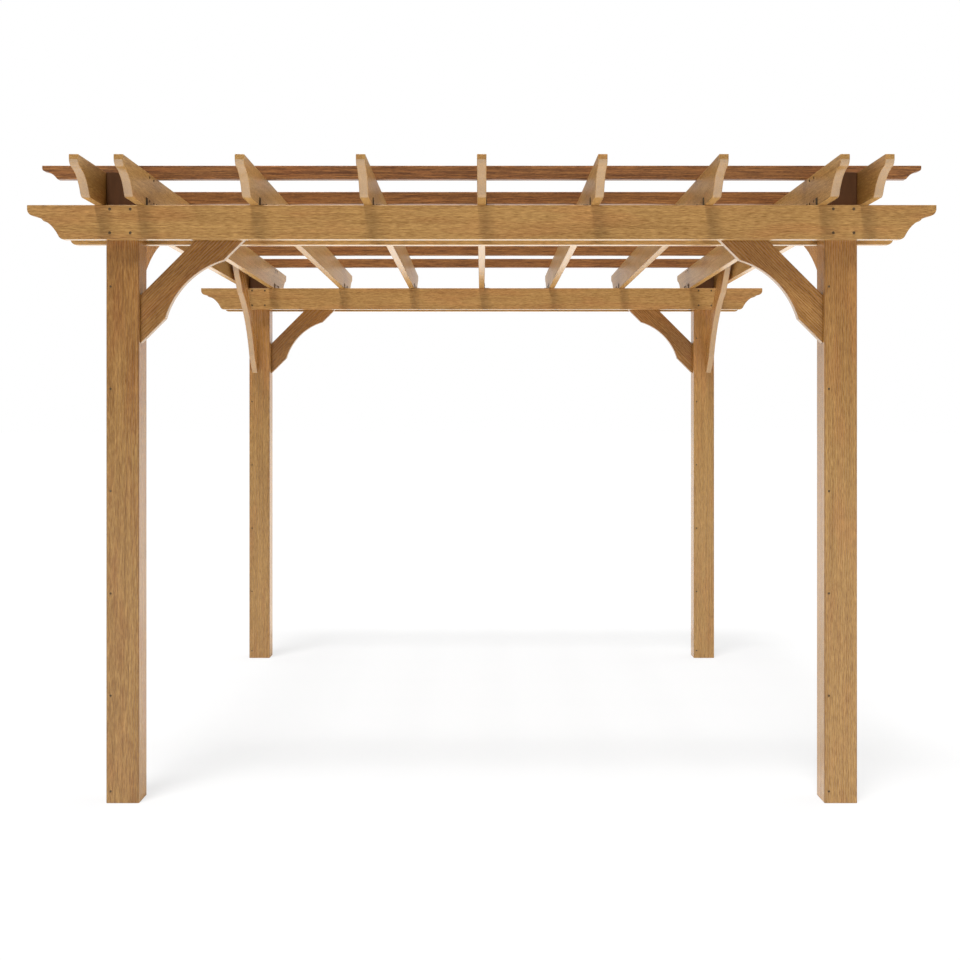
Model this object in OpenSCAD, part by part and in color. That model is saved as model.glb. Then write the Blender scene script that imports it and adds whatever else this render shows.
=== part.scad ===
// Free-standing timber pergola: four posts held between paired beams and paired rafters,
// single rafters and purlins across them, and a hollowed knee brace on both inner sides of each post.
// Millimetres. +X runs along the beams, +Y from front to back, +Z up, and the ground is z = 0.

/* [Frame] */
// Width across the posts, outside to outside
post_span_x = 3044; // [2400:10:4200]
// Depth across the posts, outside to outside
post_span_y = 3044; // [2400:10:4200]
// Reach of the beams and purlins past the posts, at each end
beam_overhang = 308; // [220:5:600]
// Reach of the rafters past the posts, at each end
rafter_overhang = 330; // [220:5:600]
// Height of the beams' undersides above the ground
headroom = 2280; // [1900:10:2800]

/* [Posts] */
// Width of a post along the beams
post_w = 133; // [90:1:180]
// Depth of a post along the rafters
post_d = 111; // [90:1:180]
// Chamfer along a post's four edges
post_ease = 3; // [1:0.5:10]

/* [Beams] */
// Thickness of a beam
beam_t = 35; // [25:1:60]
// Height of a beam
beam_h = 138; // [125:1:180]

/* [Rafters] */
// Thickness of a rafter
rafter_t = 36; // [25:1:60]
// Height of a rafter
rafter_h = 138; // [125:1:180]
// Single rafters between the two pairs that hold the posts
rafters_between = 5; // [3:1:7]

/* [Purlins] */
// Thickness of a purlin
purlin_t = 35; // [20:1:60]
// Height of a purlin
purlin_h = 56; // [48:1:80]
// Number of purlins, the first and last of them on the inner beams' lines
purlin_count = 6; // [4:1:9]
// How far the row of purlins sits behind those lines
purlin_setback = 17; // [0:1:40]

/* [Coved ends of beams and rafters] */
// Height of the upright nose
nose_h = 16; // [10:1:30]
// Radius that rounds the nose under
nose_r = 28; // [12:1:34]
// Radius where the cove runs out into the underside
heel_r = 24; // [6:1:32]
// Slope where the cove starts, in degrees
cove_start = 11; // [8:1:25]
// Slope where the cove ends, in degrees
cove_end = 65; // [50:1:70]

/* [Coved ends of purlins] */
// Height of a purlin's upright nose
purlin_nose_h = 11; // [6:1:14]
// Radius that rounds a purlin's nose under
purlin_nose_r = 12; // [6:1:14]
// Radius where a purlin's cove runs out into its underside
purlin_heel_r = 4; // [3:0.5:10]
// Slope where a purlin's cove starts, in degrees
purlin_cove_start = 8; // [6:1:20]
// Slope where a purlin's cove ends, in degrees
purlin_cove_end = 55; // [42:1:60]

/* [Knee braces] */
// Thickness of a brace
brace_t = 35; // [25:1:60]
// Width of the board that a brace is sawn from
brace_w = 138; // [110:1:160]
// Drop of a brace's lower tip below the beams
brace_drop = 414; // [340:1:560]
// Distance that a brace is set in from a post's outer face
brace_inset = 20; // [5:1:35]
// Height of a brace's top end above the underside of the boards that it runs up between
brace_lap = 110; // [60:1:120]
// Straight run at a brace's foot before its hollow starts, measured level
brace_foot_run = 100; // [70:1:120]
// Straight run at a brace's head after its hollow ends, measured level
brace_head_run = 76; // [40:1:100]
// Depth of the hollow in the braces between the beams
cross_hollow = 43; // [20:1:60]
// Depth of the hollow in the braces between the rafters
side_hollow = 50; // [20:1:60]

/* [Angle brackets] */
// Length of each leg
bracket_leg = 32; // [20:1:50]
// Width of a bracket along the rafter
bracket_w = 22; // [15:1:25]
// Thickness of the metal
bracket_t = 2.5; // [2:0.1:4]

/* [Hidden] */
$fn = 96;

// Heights of the layers
beam_top = headroom + beam_h;
rafter_top = beam_top + rafter_h;

// Lengths of the boards
beam_length = post_span_x + 2 * beam_overhang;
rafter_length = post_span_y + 2 * rafter_overhang;

// Distances of the boards' centre lines from the middle of the pergola
outer_beam_y = post_span_y / 2 + beam_t / 2;
inner_beam_y = post_span_y / 2 - post_d - beam_t / 2;
outer_rafter_x = post_span_x / 2 + rafter_t / 2;
inner_rafter_x = post_span_x / 2 - post_w - rafter_t / 2;

// Spacing of the single rafters and of the purlins
rafter_count = rafters_between + 4;
rafter_step = 2 * inner_rafter_x / (rafters_between + 1);
purlin_step = 2 * inner_beam_y / (purlin_count - 1);

// Level of the braces' lower tips, and how far each kind climbs to the boards above it
brace_foot_z = headroom - brace_drop;
cross_rise = brace_drop;
side_rise = brace_drop + beam_h;

wood = [0.66, 0.48, 0.29];
dark_wood = [0.55, 0.37, 0.23];
steel = [0.2, 0.2, 0.21];

// A corner's name, its side along X and its side along Y
CORNERS = [
    ["front_left", -1, -1],
    ["front_right", 1, -1],
    ["back_left", -1, 1],
    ["back_right", 1, 1]
];

// A beam's name and its place along Y
BEAMS = [
    ["front_outer", -outer_beam_y],
    ["front_inner", -inner_beam_y],
    ["back_inner", inner_beam_y],
    ["back_outer", outer_beam_y]
];

// Place of a rafter's centre line: the outer one of each pair, or one of the equally spaced rest
function rafter_x(i) =
    i == 1 ? -outer_rafter_x :
    i == rafter_count ? outer_rafter_x :
    -inner_rafter_x + (i - 2) * rafter_step;

function purlin_y(i) = -inner_beam_y + purlin_setback + (i - 1) * purlin_step;

module lower_half_disc(radius) {
    intersection() {
        circle(radius);
        translate([-radius, -radius]) square([2 * radius, radius]);
    }
}

// Side view of a board that stands on y = 0 and is centred on x = 0. Each end has an upright nose,
// a round under it, a cove that steepens between two slopes, and a round heel into the underside.
module coved_outline(length, height, nose, round_r, heel, slope_a, slope_b) {
    cove_r = (height - nose - round_r * cos(slope_a) - heel * (1 - cos(slope_b))) / (cos(slope_a) - cos(slope_b));
    // Points of the left end: distance in from the tip, and distance down from the top edge
    round_centre = [round_r, nose];
    cove_from = round_centre + round_r * [-sin(slope_a), cos(slope_a)];
    cove_centre = cove_from + cove_r * [-sin(slope_a), cos(slope_a)];
    cove_to = cove_centre + cove_r * [sin(slope_b), -cos(slope_b)];
    heel_centre = cove_to + heel * [sin(slope_b), -cos(slope_b)];
    end_points = [[0, 0], [0, nose], cove_from, cove_to, [heel_centre[0], height]];
    last = len(end_points) - 1;

    difference() {
        polygon(concat(
            [for (p = end_points) [p[0] - length / 2, height - p[1]]],
            [for (i = [last:-1:0]) [length / 2 - end_points[i][0], height - end_points[i][1]]]
        ));
        for (side = [-1, 1])
            translate([side * (length / 2 - cove_centre[0]), height - cove_centre[1]]) circle(cove_r);
    }
    for (side = [-1, 1]) {
        translate([side * (length / 2 - round_centre[0]), height - round_centre[1]]) lower_half_disc(round_r);
        translate([side * (length / 2 - heel_centre[0]), height - heel_centre[1]]) circle(heel);
    }
}

// Outline of the boards that the posts pass between
module main_outline(length, height) {
    coved_outline(length, height, nose_h, nose_r, heel_r, cove_start, cove_end);
}

// An outline stood up along X or along Y and given its thickness about its own middle
module along_x(thickness) {
    rotate([90, 0, 0]) linear_extrude(thickness, center = true) children();
}

module along_y(thickness) {
    rotate([90, 0, 90]) linear_extrude(thickness, center = true) children();
}

// A post with chamfered edges, from the ground to the tops of the rafters
module post(corner) {
    x = post_w / 2;
    y = post_d / 2;
    quarter = [[x, y - post_ease], [x - post_ease, y]];
    color(wood)
    translate([corner[1] * (post_span_x / 2 - x), corner[2] * (post_span_y / 2 - y), 0])
    linear_extrude(rafter_top)
    polygon([
        quarter[0], quarter[1],
        [-quarter[1][0], quarter[1][1]], [-quarter[0][0], quarter[0][1]],
        -quarter[0], -quarter[1],
        [quarter[1][0], -quarter[1][1]], [quarter[0][0], -quarter[0][1]]
    ]);
}

module beam(place) {
    color(wood)
    translate([0, place, headroom]) along_x(beam_t) main_outline(beam_length, beam_h);
}

module rafter(i) {
    color(wood)
    translate([rafter_x(i), 0, beam_top]) along_y(rafter_t) main_outline(rafter_length, rafter_h);
}

module purlin(i) {
    color(dark_wood)
    translate([0, purlin_y(i), rafter_top])
    along_x(purlin_t)
    coved_outline(
        beam_length, purlin_h, purlin_nose_h, purlin_nose_r, purlin_heel_r,
        purlin_cove_start, purlin_cove_end
    );
}

// Side view of a brace at 45 degrees, its lower tip at the origin and its foot cut along x = 0.
// The lower edge is straight at both ends and hollowed by one arc between them.
module brace_outline(rise, hollow) {
    foot_cut = brace_w * sqrt(2);
    head = rise + brace_lap;
    hollow_from = brace_foot_run;
    hollow_to = rise - brace_head_run;
    middle = (hollow_from + hollow_to) / 2;
    half_chord = (hollow_to - hollow_from) / sqrt(2);
    hollow_r = (half_chord * half_chord + hollow * hollow) / (2 * hollow);
    shift = (hollow_r - hollow) / sqrt(2);
    difference() {
        polygon([[0, 0], [head, head], [head - foot_cut, head], [0, foot_cut]]);
        translate([middle + shift, middle - shift]) circle(hollow_r);
    }
}

// A brace between the two beams, from a post's inner side face
module cross_brace(corner) {
    color(wood)
    translate([
        corner[1] * (post_span_x / 2 - post_w),
        corner[2] * (post_span_y / 2 - brace_inset - brace_t / 2),
        brace_foot_z
    ])
    mirror([corner[1] > 0 ? 1 : 0, 0, 0])
    along_x(brace_t) brace_outline(cross_rise, cross_hollow);
}

// A brace between the two rafters of a pair, from a post's face towards the middle
module side_brace(corner) {
    color(wood)
    translate([
        corner[1] * (post_span_x / 2 - brace_inset - brace_t / 2),
        corner[2] * (post_span_y / 2 - post_d),
        brace_foot_z
    ])
    mirror([0, corner[2] > 0 ? 1 : 0, 0])
    along_y(brace_t) brace_outline(side_rise, side_hollow);
}

// Angle brackets that hold all but the two outermost rafters on one beam, each on the face nearer the middle
module brackets(place) {
    color(steel)
    for (i = [2:rafter_count - 1]) {
        facing = rafter_x(i) > rafter_t ? -1 : 1;
        translate([rafter_x(i) + facing * rafter_t / 2, place, beam_top])
        mirror([facing < 0 ? 1 : 0, 0, 0])
        along_x(bracket_w)
        polygon([
            [0, 0], [bracket_leg, 0], [bracket_leg, bracket_t],
            [bracket_t, bracket_t], [bracket_t, bracket_leg], [0, bracket_leg]
        ]);
    }
}

for (corner = CORNERS) {
    post(corner);
    cross_brace(corner);
    side_brace(corner);
}
for (beam = BEAMS) {
    beam(beam[1]);
    brackets(beam[1]);
}
for (i = [1:rafter_count]) {
    rafter(i);
}
for (i = [1:purlin_count]) {
    purlin(i);
}
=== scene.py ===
"""Finish of a free-standing timber pergola, laid out as a Blender add-on.

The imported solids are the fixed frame. Each board is remade with eased edges and a grain that runs
along its own length, and the screws and brackets that hold the frame together are added to it.
"""

import math
import random
from collections import namedtuple

import bmesh
import bpy
from bpy.props import FloatProperty, FloatVectorProperty, IntProperty, PointerProperty
from mathutils import Matrix, Vector


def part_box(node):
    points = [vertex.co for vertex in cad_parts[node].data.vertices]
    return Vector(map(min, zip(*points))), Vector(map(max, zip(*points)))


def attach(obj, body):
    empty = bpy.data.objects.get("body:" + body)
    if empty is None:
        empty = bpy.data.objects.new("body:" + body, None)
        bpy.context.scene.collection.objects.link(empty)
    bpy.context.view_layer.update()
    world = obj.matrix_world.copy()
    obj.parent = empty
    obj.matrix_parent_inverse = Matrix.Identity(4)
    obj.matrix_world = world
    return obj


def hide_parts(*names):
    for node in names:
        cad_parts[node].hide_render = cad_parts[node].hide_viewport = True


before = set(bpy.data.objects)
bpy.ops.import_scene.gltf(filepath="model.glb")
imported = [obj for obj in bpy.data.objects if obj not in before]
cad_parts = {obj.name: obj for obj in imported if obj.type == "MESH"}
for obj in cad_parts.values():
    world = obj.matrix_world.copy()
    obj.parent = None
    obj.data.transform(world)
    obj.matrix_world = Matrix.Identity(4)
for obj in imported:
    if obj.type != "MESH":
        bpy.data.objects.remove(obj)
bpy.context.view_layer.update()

bl_info = {
    "name": "Timber pergola finish",
    "version": (1, 0, 0),
    "blender": (4, 5, 0),
    "location": "View3D > Sidebar > Pergola",
    "description": "Eased boards with grain, screws, brackets and a studio stage for a timber pergola",
    "category": "Object",
}

BODY = "root"

ACROSS = Vector((1, 0, 0))
BACK = Vector((0, 1, 0))
UP = Vector((0, 0, 1))

# Side along X and side along Y of each corner post
CORNERS = {
    "front_left": (-1, -1),
    "front_right": (1, -1),
    "back_left": (-1, 1),
    "back_right": (1, 1),
}
# How much lighter each post's timber is than the darkest one's
POST_TONES = {
    "front_left": 0.0,
    "front_right": 0.08,
    "back_left": 0.09,
    "back_right": 0.19,
}

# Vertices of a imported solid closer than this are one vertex, and faces flatter than this are one face
WELD = 1e-5
FLAT = math.radians(0.5)
# Edges that turn more than this are eased
CORNER = math.radians(25)
# Faces whose normal has a part larger than this are square to the frame
SQUARE = 0.99
# Faces of a board whose normal points down by more than this, its underside and its curved cuts, take a
# paler finish with painted light from the floor
FLOOR_LIT_TILT = -0.1
# The posts' edges are eased by this share of the boards'
POST_EASE = 0.4

# Thickness of the brackets' steel, how far its edges are rounded, and the screws' place along each leg
BRACKET_SHEET = 0.0025
BRACKET_EASE = 0.0006
BRACKET_SCREW = 0.62
BRACKET_COAT = (0.036, 0.025, 0.014)
BRACKET_MATT = 0.65
SCREW_COAT = (0.062, 0.040, 0.020)
SCREW_MATT = 0.6
STEEL_GLOSS = 0.2

# A screw head: sides, then its height as a share of its diameter
HEAD_SIDES = 12
HEAD_HEIGHT = 0.2
# Shares of a head's radius: its crown and the rim around its recess
HEAD_CROWN = 0.62
HEAD_RIM = 0.28
# Shares of a head's height: how far its middle stands above the wood, and the recess's depth
HEAD_RISE = 0.3
HEAD_RECESS = 0.55

# Where along its grain a board's pattern may start, and where its pith may lie, in metres
GRAIN_START = (0.0, 40.0)
PITH_ACROSS = (0.02, 0.10)
PITH_DEPTH = (0.05, 0.16)
# Cuts across a rafter on each side of a post that let the painted shade fade, and how deep it reaches in
# from the face, as a share of the rafter's thickness
GAP_SHADE_CUTS = 5
GAP_SHADE_DEPTH = 0.1

# One noise in a pattern: its rate along and across the grain, per metre, and how much it weighs
Layer = namedtuple("Layer", "along across detail roughness weight")
DRIFT = Layer(1.1, 6.0, 2.0, 0.5, 0.06)
BAND = Layer(1.0, 26.0, 2.0, 0.5, 0.3)
LONG_STREAK = Layer(1.6, 105.0, 3.0, 0.6, 0.7)
STREAK = Layer(31.0, 390.0, 3.0, 0.55, 1.8)
FIBRE = Layer(60.0, 640.0, 2.0, 0.6, 1.1)
FLUSH = Layer(3.1, 15.0, 2.0, 0.5, 5.0)
# Mottle and fibre of the painted shade on the post tops
SHADE_MOTTLE = Layer(14.0, 60.0, 3.0, 0.6, 1.0)
SHADE_FIBRE = Layer(60.0, 420.0, 2.0, 0.6, 0.6)
BLOTCH = Layer(160.0, 160.0, 3.0, 0.6, 1.6)
GRIT = Layer(1800.0, 1800.0, 1.0, 0.5, 1.0)
# Growth rings: how narrow their dark lines are, and how much they weigh
RING_POWER = 1.6
RING_WEIGHT = 0.06
# Middle of the timber's tones, the flush noise above which it reddens, and the tint of red wood
MIDDLE_TONE = 0.505
FLUSH_FROM = 0.48
RUDDY = (1.0, 0.85, 0.83)

# Way that the key light travels, and half the floor's width
KEY_TRAVEL = Vector((0.125, 0.28, -1.0))
FLOOR_REACH = 150
# The backdrop that a gloss shows: its brightness at the sides, and the rise from there to the back
BACKDROP_SIDE = 0.65
BACKDROP_RISE = 0.45
# How closely the light from the sides keeps to the left and right
SIDE_POWER = 3

# Places of a Mix node's colour sockets
MIX_A = 6
MIX_B = 7
MIX_OUT = 2

# Place of a Texture Coordinate node's Object output, and of an Attribute node's vector and plain number
OBJECT_PLACE = 3
ATTRIBUTE_VECTOR = 1
ATTRIBUTE_NUMBER = 2

# The node that tells kinds of rays apart, and the places of its outputs
LIGHT_PATH = "ShaderNodeLightPath"
CAMERA_RAY = 0
GLOSSY_RAY = 3
TRANSMISSION_RAY = 6


def node_names(start):
    """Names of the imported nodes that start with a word, in order."""
    return sorted(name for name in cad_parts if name.startswith(start))


class TimberSettings(bpy.types.PropertyGroup):
    """Colours and grain of the oiled timber, and the light and shade painted on it."""

    eased_edge: FloatProperty(
        name="Eased edge",
        description="How far the boards' edges are rounded off",
        default=0.0022,
        min=0.0005,
        max=0.008,
        unit="LENGTH",
    )
    honey: FloatVectorProperty(
        name="Early wood",
        description="Light wood between the growth rings",
        default=(0.530, 0.308, 0.098),
        size=3,
        subtype="COLOR",
        min=0,
        max=1,
    )
    amber: FloatVectorProperty(
        name="Late wood",
        description="Dark wood of the growth rings and streaks",
        default=(0.199, 0.088, 0.0135),
        size=3,
        subtype="COLOR",
        min=0,
        max=1,
    )
    purlin_light: FloatVectorProperty(
        name="Purlin early wood",
        description="Light wood of the browner boards on top",
        default=(0.447, 0.195, 0.055),
        size=3,
        subtype="COLOR",
        min=0,
        max=1,
    )
    purlin_dark: FloatVectorProperty(
        name="Purlin late wood",
        description="Dark wood of the browner boards on top",
        default=(0.107, 0.033, 0.004),
        size=3,
        subtype="COLOR",
        min=0,
        max=1,
    )
    # Painted shade: the colour of the posts above the beams, where they stand in shade between the
    # rafters
    sealed: FloatVectorProperty(
        name="Painted shade on the post tops",
        description="Painted shade: dark colour on the posts above the beams",
        default=(0.062, 0.024, 0.007),
        size=3,
        subtype="COLOR",
        min=0,
        max=1,
    )
    # Painted shade on the rafters' faces next to the post tops, in the narrow gap between each pair
    gap_shade: FloatProperty(
        name="Painted shade by the posts",
        description="How much darker the rafters are where they meet the sealed post tops",
        default=0.55,
        min=0,
        max=1,
        subtype="FACTOR",
    )
    gap_shade_reach: FloatProperty(
        name="Reach of the painted shade",
        description="How far the painted shade reaches along the rafters from a post",
        default=0.30,
        min=0.02,
        unit="LENGTH",
    )
    ring_width: FloatProperty(
        name="Ring width",
        description="Distance from one growth ring to the next",
        default=0.0085,
        min=0.002,
        unit="LENGTH",
    )
    board_tone: FloatProperty(
        name="Tone from board to board",
        description="How much lighter or darker one board may be than the next",
        default=0.07,
        min=0,
        max=0.5,
        subtype="FACTOR",
    )
    upright_tone: FloatProperty(
        name="Tone of the posts",
        description="How much lighter or darker the posts are than the boards",
        default=-0.15,
        min=-0.5,
        max=0.5,
        subtype="FACTOR",
    )
    side_brace_tone: FloatProperty(
        name="Tone of the side braces",
        description="How much lighter or darker the braces under the rafters are than the boards",
        default=0.08,
        min=-0.5,
        max=0.5,
        subtype="FACTOR",
    )
    brace_tone: FloatProperty(
        name="Tone of the cross braces",
        description="How much lighter or darker the braces under the beams are than the boards",
        default=-0.20,
        min=-0.5,
        max=0.5,
        subtype="FACTOR",
    )
    # Painted light: the boards' flat undersides are made lighter for the light from the floor
    painted_underside_light: FloatProperty(
        name="Painted light on the undersides",
        description="How much lighter or darker the undersides of the boards are",
        default=0.40,
        min=-0.5,
        max=0.5,
        subtype="FACTOR",
    )
    post_edge: FloatProperty(
        name="Tone of the posts' edges",
        description="How much lighter or darker the posts' eased edges are",
        default=-0.28,
        min=-0.5,
        max=0.5,
        subtype="FACTOR",
    )


class FixingSettings(bpy.types.PropertyGroup):
    """Screws that hold the frame together."""

    head: FloatProperty(
        name="Screw head",
        description="Diameter of the heads on the beams and rafters",
        default=0.013,
        min=0.004,
        unit="LENGTH",
    )
    post_head: FloatProperty(
        name="Post screw head",
        description="Diameter of the heads in the rows up the posts",
        default=0.010,
        min=0.004,
        unit="LENGTH",
    )
    small_head: FloatProperty(
        name="Small screw head",
        description="Diameter of the heads on the brackets and the purlins",
        default=0.008,
        min=0.003,
        unit="LENGTH",
    )
    side_inset: FloatProperty(
        name="Inset from a post's side",
        description="Distance of the screws in the boards from the sides of the post behind them",
        default=0.025,
        unit="LENGTH",
    )
    top_inset: FloatProperty(
        name="Inset from a board's top",
        description="Distance of the upper screws from the top of a beam or rafter",
        default=0.016,
        unit="LENGTH",
    )
    bottom_inset: FloatProperty(
        name="Inset from a board's underside",
        description="Distance of the lower screws from the underside of a beam or rafter",
        default=0.026,
        unit="LENGTH",
    )
    post_row: IntProperty(
        name="Screws up a post",
        description="Number of screws in the row up each post's front face, above the one at its foot",
        default=5,
        min=2,
    )
    post_row_top: FloatProperty(
        name="Highest post screw",
        description="Height of the highest screw in a post",
        default=2.094,
        unit="LENGTH",
    )
    post_row_step: FloatProperty(
        name="Post screw spacing",
        description="Distance between the screws up a post",
        default=0.4145,
        unit="LENGTH",
    )
    post_foot: FloatProperty(
        name="Foot screw",
        description="Height of the lowest screw in a post",
        default=0.0485,
        unit="LENGTH",
    )
    post_row_inset: FloatProperty(
        name="Post screw inset",
        description="Distance of the row from the post's left edge",
        default=0.018,
        unit="LENGTH",
    )


class StageSettings(bpy.types.PropertyGroup):
    """Camera, light and floor."""

    camera_distance: FloatProperty(
        name="Camera distance",
        description="Distance of the camera in front of the middle of the pergola",
        default=6.283,
        unit="LENGTH",
    )
    camera_height: FloatProperty(
        name="Camera height",
        description="Height of the level camera above the floor",
        default=1.544,
        unit="LENGTH",
    )
    lens: FloatProperty(
        name="Lens",
        description="Focal length on a sensor 36 mm wide",
        default=44.06,
        subtype="DISTANCE_CAMERA",
    )
    shift_x: FloatProperty(
        name="Shift across",
        description="Sideways shift of the frame, as a share of its width",
        default=-0.0018,
    )
    shift_y: FloatProperty(
        name="Shift up",
        description="Upward shift of the frame, as a share of its width",
        default=-0.0602,
    )
    sky: FloatProperty(
        name="Sky light",
        description="Strength of the even light from all round",
        default=0.30,
        min=0,
    )
    lean: FloatProperty(
        name="Lean of the sky light",
        description="How much stronger the light is behind the pergola, and weaker in front",
        default=0.95,
        min=0,
        max=1,
        subtype="FACTOR",
    )
    sides: FloatProperty(
        name="Light from the sides",
        description="How much stronger the light is to the left and right of the pergola",
        default=7.4,
        min=0,
    )
    right: FloatProperty(
        name="Light from the right",
        description="How much stronger the light from the sides is on the right than on the left",
        default=0.5,
        min=-1,
        max=1,
        subtype="FACTOR",
    )
    upper_gloss: FloatProperty(
        name="Gloss from above",
        description="Brightness of the studio above the horizon, as the timber's gloss shows it",
        default=0.12,
        min=0,
        max=1,
        subtype="FACTOR",
    )
    horizon_height: FloatProperty(
        name="Height of the horizon band",
        description="Sine of the angle up to which a gloss shows the white backdrop",
        default=0.28,
        min=0.01,
        max=1,
    )
    horizon_fade: FloatProperty(
        name="Fade of the horizon band",
        description="How far below that height the white backdrop starts to fade",
        default=0.17,
        min=0.01,
        max=1,
    )
    key: FloatProperty(
        name="Key light",
        description="Strength of the light from high above, a little to the left and in front",
        default=4.15,
        min=0,
    )
    key_angle: FloatProperty(
        name="Key size",
        description="Angle that the key light spans, which softens its shadows",
        default=math.radians(15),
        subtype="ANGLE",
    )
    floor_tone: FloatProperty(
        name="Floor tone",
        description="Share of light that the floor gives back to the pergola",
        default=0.715,
        min=0,
        max=1,
        subtype="FACTOR",
    )
    floor_warmth: FloatVectorProperty(
        name="Floor warmth",
        description="Tint of the light that the floor gives back to the pergola",
        default=(1.0, 0.975, 0.945),
        size=3,
        subtype="COLOR",
        min=0,
        max=1,
    )
    floor_seen: FloatProperty(
        name="Floor tone to the camera",
        description="Share of light that the floor gives back to the camera, at which it reads as white",
        default=0.562,
        min=0,
        max=1,
        subtype="FACTOR",
    )
    floor_white: FloatProperty(
        name="Floor white",
        description="Share of plain white in the floor as the camera sees it, over its own shadows",
        default=0.71,
        min=0,
        max=1,
        subtype="FACTOR",
    )


class Value:
    """A shader socket that takes part in sums. Each operator adds one Math node to its graph."""

    def __init__(self, graph, socket):
        self.graph = graph
        self.socket = socket

    def math(self, operation, first, second=0.0):
        return self.graph.add("ShaderNodeMath", {"operation": operation}, {0: first, 1: second})

    def __add__(self, other):
        return self.math("ADD", self, other)

    def __radd__(self, other):
        return self.math("ADD", other, self)

    def __sub__(self, other):
        return self.math("SUBTRACT", self, other)

    def __rsub__(self, other):
        return self.math("SUBTRACT", other, self)

    def __mul__(self, other):
        return self.math("MULTIPLY", self, other)

    def __rmul__(self, other):
        return self.math("MULTIPLY", other, self)

    def __pow__(self, other):
        return self.math("POWER", self, other)

    def sine(self):
        return self.math("SINE", self)

    def clamped(self):
        return self.graph.add("ShaderNodeClamp", {}, {0: self})


class Graph:
    """The nodes of one material or of the world."""

    def __init__(self, owner):
        owner.use_nodes = True
        self.owner = owner
        self.tree = owner.node_tree
        self.tree.nodes.clear()

    def add(self, kind, settings=None, inputs=None, output=0):
        """Adds a node, sets it up, fills or links its sockets, and returns one of its outputs."""
        node = self.tree.nodes.new(kind)
        for name, setting in (settings or {}).items():
            if name == "stops":
                self.set_stops(node.color_ramp, setting)
            else:
                setattr(node, name, setting)
        for name, source in (inputs or {}).items():
            if isinstance(source, Value):
                self.tree.links.new(source.socket, node.inputs[name])
            else:
                node.inputs[name].default_value = source
        if not node.outputs:
            return None
        return Value(self, node.outputs[output])

    @staticmethod
    def set_stops(ramp, stops):
        while len(ramp.elements) < len(stops):
            ramp.elements.new(1.0)
        for element, (place, colour) in zip(ramp.elements, stops):
            element.position = place
            element.color = (*colour, 1.0)

    def mix_colours(self, factor, first, second):
        sockets = {0: factor, MIX_A: first, MIX_B: second}
        return self.add("ShaderNodeMix", {"data_type": "RGBA"}, sockets, MIX_OUT)

    def tint(self, colour, share):
        """A colour or place with each of its parts multiplied by a share of its own."""
        return self.add("ShaderNodeVectorMath", {"operation": "MULTIPLY"}, {0: colour, 1: share})

    def split(self, vector):
        """The three parts of a vector."""
        first = self.add("ShaderNodeSeparateXYZ", {}, {0: vector})
        return [Value(self, socket) for socket in first.socket.node.outputs]

    def noise(self, place, layer):
        """Noise about 0.5, with its own rates along and across the grain."""
        scaled = self.tint(place, (layer.along, layer.across, layer.across))
        sockets = {"Vector": scaled, "Scale": 1.0, "Detail": layer.detail, "Roughness": layer.roughness}
        return self.add("ShaderNodeTexNoise", {"noise_dimensions": "3D"}, sockets)

    def seen(self):
        """1 where the camera looks, straight or through glass, and 0 for rays that light the scene."""
        straight = self.add(LIGHT_PATH, output=CAMERA_RAY)
        through = self.add(LIGHT_PATH, output=TRANSMISSION_RAY)
        return (straight + through).clamped()


def new_graph(name):
    """A graph on a new material."""
    return Graph(bpy.data.materials.new(name))


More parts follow.
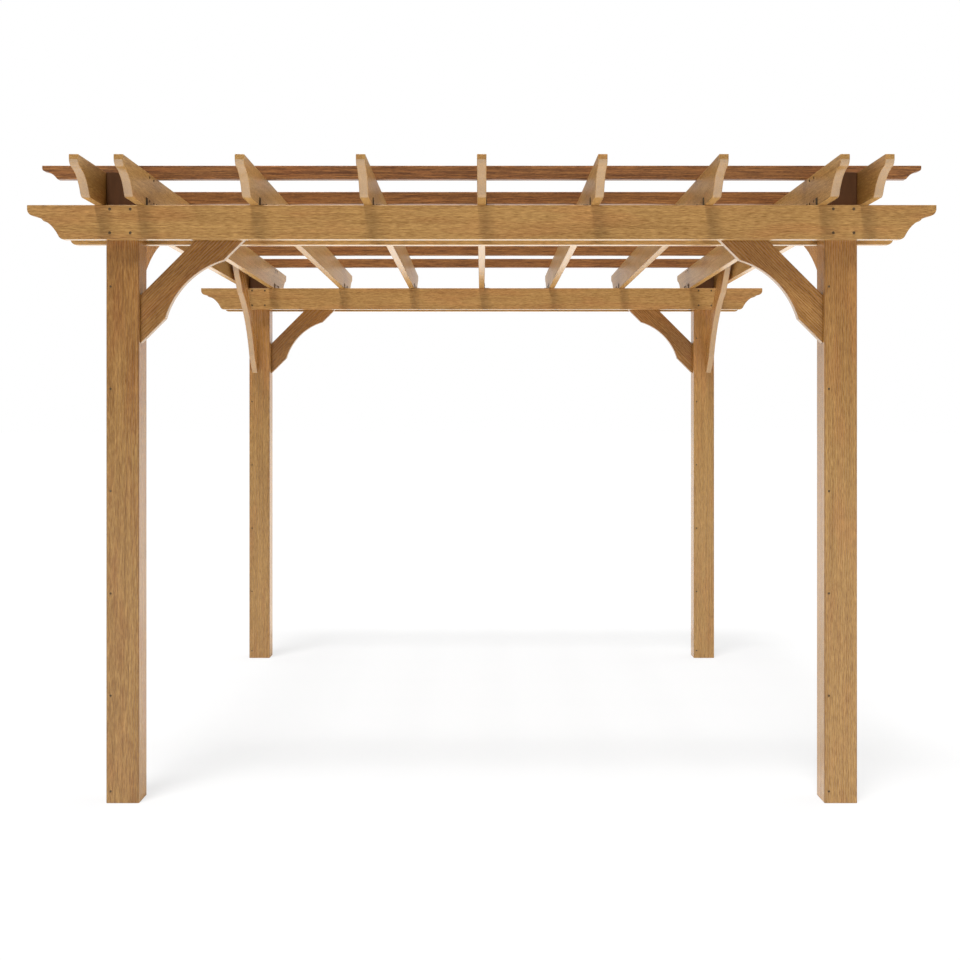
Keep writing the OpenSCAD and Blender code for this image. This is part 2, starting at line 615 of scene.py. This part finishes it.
def timber(
    name,
    light,
    dark,
    ring_width,
    ior=1.55,
    figure_share=1.0,
    lift=0.0,
    flushed=0.6,
    painted_shade_red_from=None,
    smooth=0.36,
    dash=STREAK.along,
):
    """Oiled softwood. A board's grain attribute has metres along it, and across it from its pith."""
    if name in bpy.data.materials:
        return bpy.data.materials[name]
    graph = new_graph(name)
    grain = graph.add("ShaderNodeAttribute", {"attribute_name": "grain"}, output=ATTRIBUTE_VECTOR)
    # The tone attribute holds each board's own tone, and on the paired rafters the painted shade by the
    # posts
    tone = graph.add("ShaderNodeAttribute", {"attribute_name": "tone"}, output=ATTRIBUTE_NUMBER)
    # The edge attribute darkens the posts' eased edges, and holds the painted light on the boards'
    # undersides
    edge = graph.add("ShaderNodeAttribute", {"attribute_name": "edge"}, output=ATTRIBUTE_NUMBER)
    _, across, through = graph.split(grain)

    drift = graph.noise(grain, DRIFT)
    band = graph.noise(grain, BAND)
    long_streak = graph.noise(grain, LONG_STREAK)
    streak = graph.noise(grain, STREAK._replace(along=dash))
    fibre = graph.noise(grain, FIBRE)
    flush = graph.noise(grain, FLUSH)

    radius = (across * across + through * through) ** 0.5 + drift * DRIFT.weight
    ring = ((radius * (math.tau / ring_width)).sine() * 0.5 + 0.5) ** RING_POWER
    figure = RING_WEIGHT * ring + BAND.weight * (band - 0.5) + LONG_STREAK.weight * (long_streak - 0.5)
    figure = figure + STREAK.weight * (streak - 0.5) + FIBRE.weight * (fibre - 0.5)
    # lift raises or lowers the shade of a whole finish; for faces that look down it raises them as
    # painted light from the floor
    shade = MIDDLE_TONE + lift - figure_share * figure + tone + edge

    mid = tuple(0.5 * (a + b) for a, b in zip(light, dark))
    wood = graph.add(
        "ShaderNodeValToRGB",
        {"stops": [(0.0, dark), (0.5, mid), (1.0, light)]},
        {0: shade.clamped()},
    )
    flush_and_painted_shade = flushed * ((flush - FLUSH_FROM) * FLUSH.weight).clamped()
    # Painted shade: above a height the wood turns redder, as in the shade under the roof; the flush below
    # is the wood's own red
    if painted_shade_red_from is not None:
        _, _, height = graph.split(graph.add("ShaderNodeTexCoord", output=OBJECT_PLACE))
        flush_and_painted_shade = flush_and_painted_shade + (height - painted_shade_red_from).clamped()
    colour = graph.mix_colours(flush_and_painted_shade.clamped(), wood, graph.tint(wood, RUDDY))
    roughness = smooth + 0.06 * streak + 0.03 * ring
    relief = fibre * 0.7 + streak * 0.5 - ring * 0.15
    normal = graph.add("ShaderNodeBump", {}, {"Strength": 0.15, "Distance": 0.0006, "Height": relief})
    surface = graph.add(
        "ShaderNodeBsdfPrincipled",
        {},
        {"Base Color": colour, "Roughness": roughness, "Normal": normal, "IOR": ior},
    )
    graph.add("ShaderNodeOutputMaterial", {}, {"Surface": surface})
    return graph.owner


def painted_shade_timber(name, colour):
    """Painted shade: near black-brown timber for the post tops, which stand in shade between the rafters,
    mottled and with fibre.
    """
    if name in bpy.data.materials:
        return bpy.data.materials[name]
    graph = new_graph(name)
    grain = graph.add("ShaderNodeAttribute", {"attribute_name": "grain"}, output=ATTRIBUTE_VECTOR)
    mottle = graph.noise(grain, SHADE_MOTTLE)
    fibre = graph.noise(grain, SHADE_FIBRE)
    pale = tuple(1.7 * part for part in colour)
    lighter_mottle = (mottle + SHADE_FIBRE.weight * (fibre - 0.5)).clamped()
    shade = graph.mix_colours(lighter_mottle, (*colour, 1.0), (*pale, 1.0))
    normal = graph.add("ShaderNodeBump", {}, {"Strength": 0.25, "Distance": 0.0006, "Height": fibre})
    surface = graph.add(
        "ShaderNodeBsdfPrincipled",
        {},
        {"Base Color": shade, "Roughness": 0.5 + 0.2 * mottle, "Normal": normal, "IOR": 1.3},
    )
    graph.add("ShaderNodeOutputMaterial", {}, {"Surface": surface})
    return graph.owner


def dark_steel(name, colour, matt):
    """Coated steel, a little blotched by handling and weather."""
    if name in bpy.data.materials:
        return bpy.data.materials[name]
    graph = new_graph(name)
    place = graph.add("ShaderNodeTexCoord", output=OBJECT_PLACE)
    blotch = graph.noise(place, BLOTCH)
    grit = graph.noise(place, GRIT)
    worn = tuple(1.9 * part for part in colour)
    shade = graph.mix_colours((blotch * BLOTCH.weight - 0.3).clamped(), (*colour, 1.0), (*worn, 1.0))
    normal = graph.add("ShaderNodeBump", {}, {"Strength": 0.2, "Distance": 0.0002, "Height": grit})
    surface = graph.add(
        "ShaderNodeBsdfPrincipled",
        {},
        {
            "Base Color": shade,
            "Roughness": matt + 0.2 * blotch,
            "Specular IOR Level": STEEL_GLOSS,
            "Normal": normal,
        },
    )
    graph.add("ShaderNodeOutputMaterial", {}, {"Surface": surface})
    return graph.owner


def new_piece(name, bm, material, replaced=()):
    """Turns a bmesh into a piece that rides on the frame and stands for the nodes it replaces."""
    mesh = bpy.data.meshes.new(name)
    bm.to_mesh(mesh)
    bm.free()
    mesh.materials.append(material)
    piece = bpy.data.objects.new(name, mesh)
    bpy.context.scene.collection.objects.link(piece)
    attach(piece, BODY)
    if replaced:
        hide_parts(*replaced)
    return piece


def eased_solid(node, ease, edge_tone=0.0):
    """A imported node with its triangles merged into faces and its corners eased, and the eased faces."""
    bm = bmesh.new()
    bm.from_mesh(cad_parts[node].data)
    toned = bm.faces.layers.float.new("edge")
    bmesh.ops.remove_doubles(bm, verts=bm.verts, dist=WELD)
    bmesh.ops.dissolve_limit(bm, angle_limit=FLAT, verts=bm.verts, edges=bm.edges)
    corners = [edge for edge in bm.edges if edge.is_manifold and edge.calc_face_angle() > CORNER]
    rounded = bmesh.ops.bevel(
        bm,
        geom=corners,
        offset=ease,
        offset_type="OFFSET",
        segments=2,
        profile=0.5,
        affect="EDGES",
        clamp_overlap=True,
        material=-1,
    )
    for face in bm.faces:
        face.smooth = True
    for face in rounded["faces"]:
        face[toned] = edge_tone
    return bm, set(rounded["faces"])


def lay_grain(bm, node, along, flat, shift=0.0):
    """Gives a board its own grain: metres along it, and across it from a pith outside the board."""
    draw = random.Random(node)
    grain = bm.verts.layers.float_vector.new("grain")
    tone = bm.verts.layers.float.new("tone")
    width_way = flat.cross(along)
    low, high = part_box(node)
    middle = 0.5 * (low + high)
    start = draw.uniform(*GRAIN_START)
    pith = Vector((start, draw.uniform(*PITH_ACROSS) * draw.choice((-1, 1)), draw.uniform(*PITH_DEPTH)))
    lightness = shift + draw.uniform(-1.0, 1.0) * bpy.context.scene.pergola_timber.board_tone
    for vert in bm.verts:
        place = vert.co - middle
        vert[grain] = pith + Vector((place.dot(along), place.dot(width_way), place.dot(flat)))
        vert[tone] = lightness


def dress_board(node, along, flat, materials, shift=0.0):
    """Makes the piece that shows in place of one packed board, with a paler finish on the faces that look
    down: painted light from the floor.
    """
    timber_set = bpy.context.scene.pergola_timber
    bm, eased = eased_solid(node, timber_set.eased_edge)
    lay_grain(bm, node, along.normalized(), flat, shift)
    plain, floor_lit = materials
    toned = bm.faces.layers.float["edge"]
    for face in set(bm.faces) - eased:
        # Faces that look down take the finish with painted light from the floor
        if face.normal.z < FLOOR_LIT_TILT:
            face.material_index = 1
        # Flat undersides get more painted light from the floor
        if face.normal.z < -SQUARE and floor_lit != plain:
            face[toned] = timber_set.painted_underside_light
    board = new_piece(node + "_board", bm, plain, (node,))
    board.data.materials.append(floor_lit)
    return weigh_normals(board)


def weigh_normals(piece):
    """Shades a piece so that its flat faces look flat up to their eased edges."""
    weighted = piece.modifiers.new("face weights", "WEIGHTED_NORMAL")
    weighted.keep_sharp = True
    return piece


def cut_across(bm, point, way):
    """Adds edges all round a solid where a plane crosses it."""
    bmesh.ops.bisect_plane(bm, geom=[*bm.verts, *bm.edges, *bm.faces], plane_co=point, plane_no=way)


def dress_post(corner, painted_shade_from):
    """Makes the piece that shows in place of one packed post, with painted shade above a height."""
    node = "post_" + corner
    timber_set = bpy.context.scene.pergola_timber
    bm, _ = eased_solid(node, POST_EASE * timber_set.eased_edge, timber_set.post_edge)
    toned = bm.faces.layers.float["edge"]
    cut_across(bm, UP * painted_shade_from, UP)
    for face in bm.faces:
        if max(abs(part) for part in face.normal) < SQUARE:
            face[toned] = timber_set.post_edge
        # Faces above that height take the painted shade
        face.material_index = 1 if face.calc_center_median().z > painted_shade_from else 0
    lay_grain(bm, node, UP, BACK, timber_set.upright_tone + POST_TONES[corner])
    post = new_piece(node + "_board", bm, upright_finish()[0], (node,))
    post.data.materials.append(painted_shade_timber("sealed timber", tuple(timber_set.sealed)))
    return weigh_normals(post)


def paint_gap_shade(rafter, partner, posts):
    """Paints shade on the face of a rafter that meets the post tops, darker towards each post, on both
    sides of it.
    """
    timber_set = bpy.context.scene.pergola_timber
    low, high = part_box(rafter)
    towards = 1 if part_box(partner)[0].x > low.x else -1
    face_x = high.x if towards > 0 else low.x
    mesh = bpy.data.objects[rafter + "_board"].data
    bm = bmesh.new()
    bm.from_mesh(mesh)
    spans = [(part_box(post)[0].y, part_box(post)[1].y) for post in posts]
    for start, end in spans:
        for step in range(GAP_SHADE_CUTS):
            out = step * timber_set.gap_shade_reach / (GAP_SHADE_CUTS - 1)
            for place, way in ((start - out, -1), (end + out, 1)):
                cut_across(bm, BACK * place, BACK * way)
    tone = bm.verts.layers.float["tone"]
    for vert in bm.verts:
        if abs(vert.co.x - face_x) < GAP_SHADE_DEPTH * (high.x - low.x):
            away = min(max(start - vert.co.y, vert.co.y - end, 0.0) for start, end in spans)
            vert[tone] -= timber_set.gap_shade * max(0.0, 1.0 - away / timber_set.gap_shade_reach)
    bm.to_mesh(mesh)
    bm.free()


def board_finish():
    """Finishes of the beams and rafters: their faces, and a paler finish with painted light from the
    floor on the faces that look down.
    """
    timber_set = bpy.context.scene.pergola_timber
    tones = (tuple(timber_set.honey), tuple(timber_set.amber), timber_set.ring_width)
    return timber("honey timber", *tones), floor_lit_finish(tones)


def upright_finish():
    """Finishes of the posts and braces, with painted shade that makes them redder towards the top."""
    timber_set = bpy.context.scene.pergola_timber
    tones = (tuple(timber_set.honey), tuple(timber_set.amber), timber_set.ring_width)
    upright = timber("upright timber", *tones, painted_shade_red_from=1.45, smooth=0.23, dash=24.0)
    return upright, floor_lit_finish(tones)


def purlin_finish():
    """Finishes of the browner boards on top."""
    timber_set = bpy.context.scene.pergola_timber
    tones = (tuple(timber_set.purlin_light), tuple(timber_set.purlin_dark), timber_set.ring_width)
    purlin = timber("brown timber", *tones, figure_share=1.35, lift=-0.03, dash=11.0)
    return purlin, purlin


def floor_lit_finish(tones):
    """Finish of the undersides and the curves that look down: lighter with painted light from the floor,
    with a plainer figure and more gloss.
    """
    return timber("sanded cuts", *tones, ior=2.1, figure_share=0.4, lift=0.09, flushed=0.0, smooth=0.20)


class PERGOLA_OT_posts(bpy.types.Operator):
    """Make the four posts"""

    bl_idname = "pergola.posts"
    bl_label = "Posts"

    def execute(self, context):
        # The posts take painted shade above the beams' top, between the rafters
        beam_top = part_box("beam_front_outer")[1].z
        for corner in CORNERS:
            dress_post(corner, beam_top)
        return {"FINISHED"}


class PERGOLA_OT_beams(bpy.types.Operator):
    """Make the paired beams at the front and the back"""

    bl_idname = "pergola.beams"
    bl_label = "Beams"

    def execute(self, context):
        for node in node_names("beam_"):
            dress_board(node, ACROSS, BACK, board_finish())
        return {"FINISHED"}


class PERGOLA_OT_rafters(bpy.types.Operator):
    """Make the rafters"""

    bl_idname = "pergola.rafters"
    bl_label = "Rafters"

    def execute(self, context):
        for node in node_names("rafter_"):
            dress_board(node, BACK, ACROSS, board_finish())
        last = len(node_names("rafter_"))
        # Painted shade on the faces of each pair of rafters that meet a post, in the gap between them
        for outer, inner, side in ((1, 2, "left"), (last, last - 1, "right")):
            posts = ("post_front_" + side, "post_back_" + side)
            paint_gap_shade(f"rafter_{outer}", f"rafter_{inner}", posts)
            paint_gap_shade(f"rafter_{inner}", f"rafter_{outer}", posts)
        return {"FINISHED"}


class PERGOLA_OT_purlins(bpy.types.Operator):
    """Make the purlins on top of the rafters"""

    bl_idname = "pergola.purlins"
    bl_label = "Purlins"

    def execute(self, context):
        for node in node_names("purlin_"):
            dress_board(node, ACROSS, BACK, purlin_finish())
        return {"FINISHED"}


class PERGOLA_OT_braces(bpy.types.Operator):
    """Make the knee braces, with the grain along their slope"""

    bl_idname = "pergola.braces"
    bl_label = "Knee braces"

    def execute(self, context):
        timber_set = context.scene.pergola_timber
        for corner, (side_x, side_y) in CORNERS.items():
            cross_slope = UP - side_x * ACROSS
            side_slope = UP - side_y * BACK
            dress_board(
                "cross_brace_" + corner,
                cross_slope,
                BACK,
                upright_finish(),
                timber_set.brace_tone,
            )
            dress_board(
                "side_brace_" + corner,
                side_slope,
                ACROSS,
                upright_finish(),
                timber_set.side_brace_tone,
            )
        return {"FINISHED"}


class PERGOLA_OT_brackets(bpy.types.Operator):
    """Make the angle brackets that hold the rafters on the beams"""

    bl_idname = "pergola.brackets"
    bl_label = "Angle brackets"

    def execute(self, context):
        coat = dark_steel("bracket coat", BRACKET_COAT, BRACKET_MATT)
        for node in node_names("brackets_"):
            bm, _ = eased_solid(node, BRACKET_EASE)
            new_piece(node + "_steel", bm, coat, (node,))
        return {"FINISHED"}


def screw_head(diameter):
    """Mesh of one round screw head on the plane z = 0, with a recess for its driver."""
    bm = bmesh.new()
    radius = 0.5 * diameter
    height = HEAD_HEIGHT * diameter
    crown = HEAD_CROWN * radius
    bmesh.ops.create_cone(
        bm, cap_ends=True, segments=HEAD_SIDES, radius1=radius, radius2=crown, depth=height,
    )
    bmesh.ops.translate(bm, verts=bm.verts, vec=(0, 0, HEAD_RISE * height))
    top = max(bm.faces, key=lambda face: face.calc_center_median().z)
    bmesh.ops.inset_region(bm, faces=[top], thickness=HEAD_RIM * radius)
    bmesh.ops.translate(bm, verts=top.verts, vec=(0, 0, -HEAD_RECESS * height))
    mesh = bpy.data.meshes.new("screw head")
    bm.to_mesh(mesh)
    bm.free()
    return mesh


def place_screws(name, diameter, places):
    """One piece with a screw head at each place, which is a point on a surface and the way it faces."""
    head = screw_head(diameter)
    draw = random.Random(name)
    bm = bmesh.new()
    for point, facing in places:
        before = len(bm.verts)
        bm.from_mesh(head)
        bm.verts.ensure_lookup_table()
        turn = facing.to_track_quat("Z", "Y").to_matrix().to_4x4()
        spin = Matrix.Rotation(draw.uniform(0, math.tau), 4, "Z")
        seat = Matrix.Translation(point) @ turn @ spin
        bmesh.ops.transform(bm, matrix=seat, verts=bm.verts[before:])
    bpy.data.meshes.remove(head)
    coat = dark_steel("screw coat", SCREW_COAT, SCREW_MATT)
    return new_piece(name, bm, coat)


def board_screws(board, post, fixing, way, outward):
    """Places of the four screws that hold a beam or rafter to a post. way runs along the board."""
    board_low, board_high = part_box(board)
    post_low, post_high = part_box(post)
    face = board_high if outward.dot(Vector((1, 1, 1))) > 0 else board_low
    places = []
    for along in (post_low.dot(way) + fixing.side_inset, post_high.dot(way) - fixing.side_inset):
        for height in (board_low.z + fixing.bottom_inset, board_high.z - fixing.top_inset):
            places.append((way * along + outward * face.dot(outward) + UP * height, outward))
    return places


def bracket_screws():
    """Places of the screws in both legs of each bracket."""
    places = []
    rafters = [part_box(f"rafter_{i}") for i in range(2, len(node_names("rafter_")))]
    for node in node_names("brackets_"):
        low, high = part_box(node)
        leg = high.z - low.z
        middle = 0.5 * (low.y + high.y)
        for rafter_low, rafter_high in rafters:
            inward = -1 if rafter_low.x > 0 else 1
            side = rafter_low.x if inward < 0 else rafter_high.x
            out = BRACKET_SCREW * leg
            upright = Vector((side + inward * BRACKET_SHEET, middle, low.z + out))
            flat = Vector((side + inward * out, middle, low.z + BRACKET_SHEET))
            places += [(upright, inward * ACROSS), (flat, UP)]
    return places


def purlin_screws():
    """Places of the screws down through each purlin into each rafter under it."""
    places = []
    for purlin in node_names("purlin_"):
        low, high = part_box(purlin)
        for rafter in node_names("rafter_"):
            rafter_low, rafter_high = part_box(rafter)
            across = 0.5 * (rafter_low.x + rafter_high.x)
            places.append((Vector((across, 0.5 * (low.y + high.y), high.z)), UP))
    return places


class PERGOLA_OT_screws(bpy.types.Operator):
    """Put in the screws that show"""

    bl_idname = "pergola.screws"
    bl_label = "Screws"

    def execute(self, context):
        fixing = context.scene.pergola_fixings
        beams = []
        rafters = []
        rows = []
        last = len(node_names("rafter_"))
        for corner, (side_x, side_y) in CORNERS.items():
            post = "post_" + corner
            end = corner.split("_")[0]
            beams += board_screws(f"beam_{end}_outer", post, fixing, ACROSS, side_y * BACK)
            beams += board_screws(f"beam_{end}_inner", post, fixing, ACROSS, -side_y * BACK)
            outer, inner = (1, 2) if side_x < 0 else (last, last - 1)
            rafters += board_screws(f"rafter_{outer}", post, fixing, BACK, side_x * ACROSS)
            rafters += board_screws(f"rafter_{inner}", post, fixing, BACK, -side_x * ACROSS)
            low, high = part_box(post)
            heights = [fixing.post_row_top - i * fixing.post_row_step for i in range(fixing.post_row)]
            for height in (*heights, fixing.post_foot):
                rows.append((Vector((low.x + fixing.post_row_inset, low.y, height)), -BACK))
        place_screws("beam_screws", fixing.head, beams)
        place_screws("rafter_screws", fixing.head, rafters)
        place_screws("post_screws", fixing.post_head, rows)
        place_screws("bracket_screws", fixing.small_head, bracket_screws())
        place_screws("purlin_screws", fixing.small_head, purlin_screws())
        return {"FINISHED"}


def add_world(stage):
    """White to the camera, and a studio that is lighter behind and, in a gloss, at the horizon."""
    graph = Graph(bpy.data.worlds.new("studio"))
    side, back, up = graph.split(graph.add("ShaderNodeTexCoord"))
    seen = graph.seen()
    glossy = graph.add(LIGHT_PATH, output=GLOSSY_RAY)
    band = ((stage.horizon_height - up) * (1 / stage.horizon_fade)).clamped()
    horizon = band * (BACKDROP_SIDE + BACKDROP_RISE * back).clamped()
    gloss = stage.upper_gloss + (1 - stage.upper_gloss) * horizon
    sides = stage.sides * (side * side) ** (SIDE_POWER / 2) * (1 + stage.right * side)
    even = stage.sky * (1 + stage.lean * back) * (1 + sides)
    strength = seen + (1 - seen) * (glossy * gloss + (1 - glossy) * even)
    light = graph.add("ShaderNodeBackground", {}, {"Color": (1, 1, 1, 1), "Strength": strength})
    graph.add("ShaderNodeOutputWorld", {}, {"Surface": light})
    bpy.context.scene.world = graph.owner


def add_floor(stage):
    """A white floor that keeps the shadow, and gives light back to the pergola."""
    bm = bmesh.new()
    bmesh.ops.create_grid(bm, x_segments=1, y_segments=1, size=FLOOR_REACH)
    mesh = bpy.data.meshes.new("floor")
    bm.to_mesh(mesh)
    bm.free()
    floor = bpy.data.objects.new("floor", mesh)
    bpy.context.scene.collection.objects.link(floor)
    graph = new_graph("pale floor")
    white = graph.add("ShaderNodeEmission", {}, {"Color": (1, 1, 1, 1), "Strength": 1.0})
    seen = graph.seen()
    bounce = tuple(stage.floor_tone * part for part in stage.floor_warmth)
    pale = (stage.floor_seen, stage.floor_seen, stage.floor_seen)
    tone = graph.mix_colours(seen, (*bounce, 1.0), (*pale, 1.0))
    matt = graph.add("ShaderNodeBsdfDiffuse", {}, {"Color": tone})
    mixed = graph.add("ShaderNodeMixShader", {}, {0: seen * stage.floor_white, 1: matt, 2: white})
    graph.add("ShaderNodeOutputMaterial", {}, {"Surface": mixed})
    mesh.materials.append(graph.owner)


def add_key(stage):
    """The light from high above that casts the shadows."""
    lamp = bpy.data.lights.new("key", "SUN")
    lamp.energy = stage.key
    lamp.angle = stage.key_angle
    key = bpy.data.objects.new("key", lamp)
    key.rotation_euler = KEY_TRAVEL.to_track_quat("-Z", "Y").to_euler()
    bpy.context.scene.collection.objects.link(key)


def add_camera(stage):
    """A level camera in front of the pergola."""
    data = bpy.data.cameras.new("camera")
    data.sensor_width = 36
    data.lens = stage.lens
    data.shift_x = stage.shift_x
    data.shift_y = stage.shift_y
    data.clip_end = 500
    camera = bpy.data.objects.new("camera", data)
    camera.location = (0, -stage.camera_distance, stage.camera_height)
    camera.rotation_euler = (math.radians(90), 0, 0)
    bpy.context.scene.collection.objects.link(camera)
    bpy.context.scene.camera = camera


class PERGOLA_OT_stage(bpy.types.Operator):
    """Set up the floor, the light and the camera"""

    bl_idname = "pergola.stage"
    bl_label = "Stage"

    def execute(self, context):
        stage = context.scene.pergola_stage
        context.scene.view_settings.view_transform = "Standard"
        add_world(stage)
        add_floor(stage)
        add_key(stage)
        add_camera(stage)
        return {"FINISHED"}


class PERGOLA_PT_panel(bpy.types.Panel):
    """Pieces of the pergola, in the order that they are made"""

    bl_idname = "PERGOLA_PT_panel"
    bl_label = "Timber pergola"
    bl_space_type = "VIEW_3D"
    bl_region_type = "UI"
    bl_category = "Pergola"

    def draw(self, context):
        for operator in OPERATORS:
            self.layout.operator(operator.bl_idname)
        for name in GROUPS:
            group = getattr(context.scene, name)
            box = self.layout.box()
            for setting in group.__annotations__:
                box.prop(group, setting)


GROUPS = {
    "pergola_timber": TimberSettings,
    "pergola_fixings": FixingSettings,
    "pergola_stage": StageSettings,
}
OPERATORS = (
    PERGOLA_OT_stage,
    PERGOLA_OT_posts,
    PERGOLA_OT_beams,
    PERGOLA_OT_rafters,
    PERGOLA_OT_purlins,
    PERGOLA_OT_braces,
    PERGOLA_OT_brackets,
    PERGOLA_OT_screws,
)


def register():
    for name, group in GROUPS.items():
        bpy.utils.register_class(group)
        setattr(bpy.types.Scene, name, PointerProperty(type=group))
    for shown in (*OPERATORS, PERGOLA_PT_panel):
        bpy.utils.register_class(shown)


def unregister():
    for shown in reversed((*OPERATORS, PERGOLA_PT_panel)):
        bpy.utils.unregister_class(shown)
    for name, group in GROUPS.items():
        delattr(bpy.types.Scene, name)
        bpy.utils.unregister_class(group)


def main():
    register()
    bpy.ops.pergola.stage()
    bpy.ops.pergola.posts()
    bpy.ops.pergola.beams()
    bpy.ops.pergola.rafters()
    bpy.ops.pergola.purlins()
    bpy.ops.pergola.braces()
    bpy.ops.pergola.brackets()
    bpy.ops.pergola.screws()


if __name__ == "__main__":
    main()
